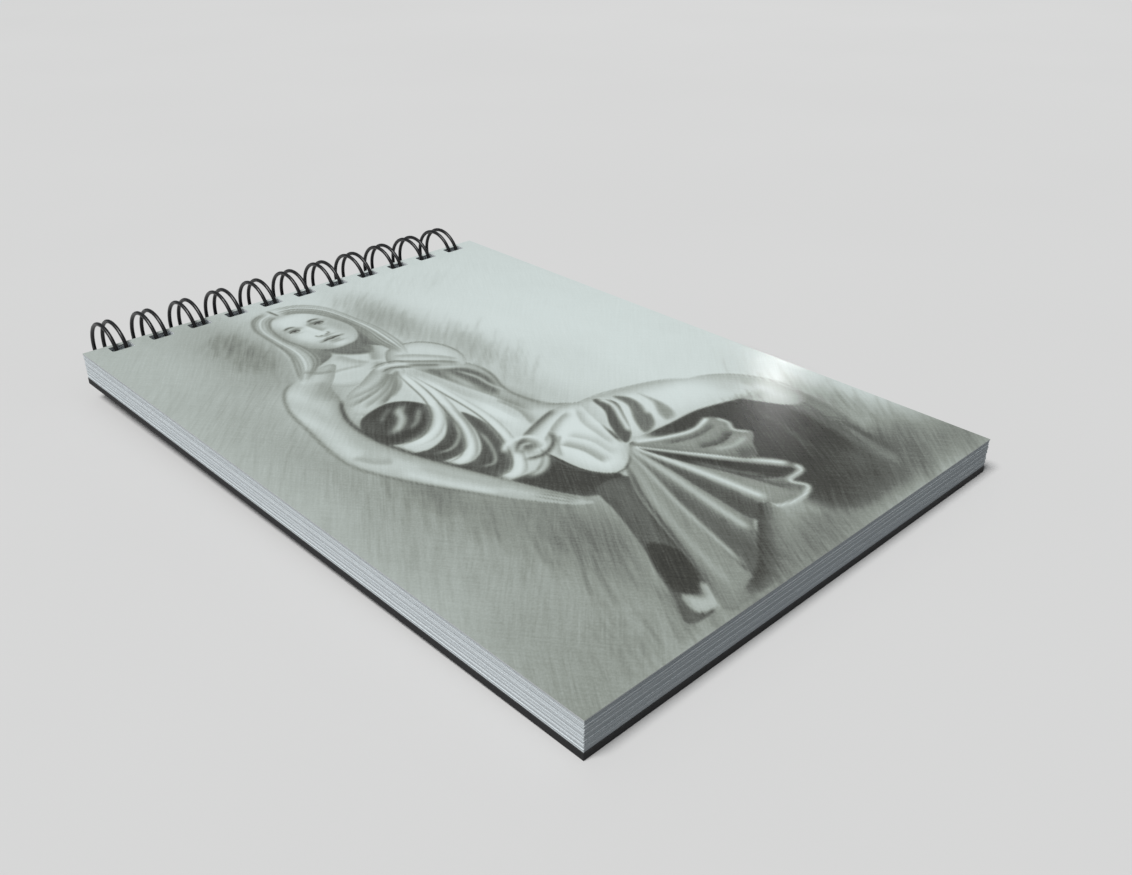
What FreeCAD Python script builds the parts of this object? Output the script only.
"""A5 sketchbook, bound along its short edge with a black twin-loop wire.

Millimetres, +Z up. X runs along the binding and +Y points across the sheets towards it. The origin is
the middle of the whole book's footprint, at the height of the lowest point of the wire loops.
"""
import FreeCAD, Part
import math
import os

# Sheets. Every one is A5, punched alike, and lies flat on the one below it.
SHEET_WIDTH = 148.0
SHEET_LENGTH = 210.0
COVER_THICKNESS = 0.3
LEAF_THICKNESS = 0.19
LEAF_COUNT = 40

# Back board: a black card core between two black linings. The outer lining has a scored crease.
CORE_THICKNESS = 1.5
LINING_THICKNESS = 0.2
CREASE_FROM_EDGE = 14.0
CREASE_WIDTH = 1.0
CREASE_DEPTH = 0.08

# Punched holes: one rectangle for both legs of a loop.
HOLE_WIDTH = 7.0
HOLE_LENGTH = 3.6
HOLE_FROM_EDGE = 1.5

# Twin-loop wire: one wire bent into hairpin loops, which hang on straight runs of the same wire.
LOOP_COUNT = 11
LOOP_PITCH = 12.7
LOOP_RADIUS = 9.5
WIRE_RADIUS = 0.6
LEG_SPACING = 3.2
BASE_BEND_RADIUS = 1.3
END_STUB = 1.5
EDGE_TO_RING = 5.5

# Where the loops close, as degrees around the ring from +Y towards +Z: out of the sheets' way, below them.
SPINE_ANGLE = -122.0
TIP_ANGLE = 228.0

# Places worked out from the sizes above
BOARD_THICKNESS = CORE_THICKNESS + 2 * LINING_THICKNESS
PAD_THICKNESS = BOARD_THICKNESS + LEAF_COUNT * LEAF_THICKNESS + COVER_THICKNESS
RING_OUTER = LOOP_RADIUS + WIRE_RADIUS
FAR_EDGE_Y = -(SHEET_LENGTH + EDGE_TO_RING + RING_OUTER) / 2
BOUND_EDGE_Y = FAR_EDGE_Y + SHEET_LENGTH
RING_Y = BOUND_EDGE_Y + EDGE_TO_RING
RING_Z = RING_OUTER
PAD_BOTTOM_Z = RING_Z - PAD_THICKNESS / 2
LEAVES_BOTTOM_Z = PAD_BOTTOM_Z + BOARD_THICKNESS
LOOP_XS = [(i - (LOOP_COUNT - 1) / 2) * LOOP_PITCH for i in range(LOOP_COUNT)]

ALONG_X = FreeCAD.Vector(1, 0, 0)
RING_CENTRE = FreeCAD.Vector(0, RING_Y, RING_Z)


def block(x, y, z, width, length, height):
    """A box with its lowest corner at x, y, z."""
    return Part.makeBox(width, length, height, FreeCAD.Vector(x, y, z))


def sheet(bottom, thickness):
    """An A5 sheet with its row of punched holes."""
    blank = block(-SHEET_WIDTH / 2, FAR_EDGE_Y, bottom, SHEET_WIDTH, SHEET_LENGTH, thickness)
    hole_y = BOUND_EDGE_Y - HOLE_FROM_EDGE - HOLE_LENGTH
    punches = [
        block(x - HOLE_WIDTH / 2, hole_y, bottom - 1, HOLE_WIDTH, HOLE_LENGTH, thickness + 2)
        for x in LOOP_XS
    ]
    return blank.cut(Part.makeCompound(punches))


def creased(lining):
    """The outer lining with the shallow groove that lets the board flex near the binding."""
    groove = block(
        -SHEET_WIDTH / 2 - 1,
        BOUND_EDGE_Y - CREASE_FROM_EDGE,
        PAD_BOTTOM_Z - 1,
        SHEET_WIDTH + 2,
        CREASE_WIDTH,
        1 + CREASE_DEPTH,
    )
    return lining.cut(groove)


def outwards(angle):
    """The direction away from the ring's axis at this angle round it, in degrees."""
    return FreeCAD.Vector(0, math.cos(math.radians(angle)), math.sin(math.radians(angle)))


class Wire:
    """A round wire laid down length by length: straight runs and tangent bends."""

    def __init__(self, start, heading):
        self.end = start
        self.heading = heading
        self.lengths = []
        self.run = 0.0

    def section(self):
        circle = Part.makeCircle(WIRE_RADIUS, self.end, self.heading)
        return Part.Face(Part.Wire(circle))

    def straight(self, length):
        self.lengths.append(self.section().extrude(self.heading * length))
        self.end = self.end + self.heading * length
        self.run += length

    def bend(self, pivot, axis, angle):
        """Turns the wire about an axis through pivot, which lies square to its heading."""
        self.lengths.append(self.section().revolve(pivot, axis, angle))
        turn = FreeCAD.Rotation(axis, angle)
        radius = (self.end - pivot).cross(axis).Length
        self.end = pivot + turn.multVec(self.end - pivot)
        self.heading = turn.multVec(self.heading)
        self.run += math.radians(abs(angle)) * radius

    def solid(self):
        return self.lengths[0].multiFuse(self.lengths[1:]).removeSplitter().Solids[0]


def twin_loop_wire():
    """The whole binding as one wire: a run, a hairpin loop round the ring, a run, and so on."""
    base_angle = SPINE_ANGLE + math.degrees(math.atan(BASE_BEND_RADIUS / LOOP_RADIUS))
    bend_angle = TIP_ANGLE - math.degrees(math.atan(LEG_SPACING / 2 / LOOP_RADIUS))
    leg_sweep = bend_angle - base_angle
    base_outwards = outwards(base_angle)
    up_the_leg = ALONG_X.cross(base_outwards)
    half_loop = LEG_SPACING / 2 + BASE_BEND_RADIUS
    between_loops = LOOP_PITCH - 2 * half_loop

    start = RING_CENTRE + base_outwards * LOOP_RADIUS - up_the_leg * BASE_BEND_RADIUS
    wire = Wire(start + ALONG_X * (LOOP_XS[0] - half_loop - END_STUB), ALONG_X)
    for i in range(LOOP_COUNT):
        wire.straight(END_STUB if i == 0 else between_loops)
        wire.bend(wire.end + up_the_leg * BASE_BEND_RADIUS, base_outwards * -1, 90)
        wire.bend(RING_CENTRE, ALONG_X, leg_sweep)
        wire.bend(wire.end + ALONG_X * (LEG_SPACING / 2), outwards(bend_angle), 180)
        wire.bend(RING_CENTRE, ALONG_X, -leg_sweep)
        wire.bend(wire.end + ALONG_X * BASE_BEND_RADIUS, base_outwards * -1, 90)
    wire.straight(END_STUB)
    return wire


def save(shape, node):
    shape.exportStep(f"parts/{node}.step")
    print(f"{node}: volume {shape.Volume:.2f}, solids {len(shape.Solids)}, valid {shape.isValid()}")


os.makedirs("parts", exist_ok=True)

save(creased(sheet(PAD_BOTTOM_Z, LINING_THICKNESS)), "back_board_outer_lining")
save(sheet(PAD_BOTTOM_Z + LINING_THICKNESS, CORE_THICKNESS), "back_board_core")
save(sheet(LEAVES_BOTTOM_Z - LINING_THICKNESS, LINING_THICKNESS), "back_board_inner_lining")
for number in range(LEAF_COUNT):
    save(sheet(LEAVES_BOTTOM_Z + number * LEAF_THICKNESS, LEAF_THICKNESS), f"leaf_{number + 1:02d}")
save(sheet(LEAVES_BOTTOM_Z + LEAF_COUNT * LEAF_THICKNESS, COVER_THICKNESS), "front_cover")

binding = twin_loop_wire()
save(binding.solid(), "twin_loop_wire")
print(f"wire: length {binding.run:.2f}, section times length {math.pi * WIRE_RADIUS**2 * binding.run:.2f}")
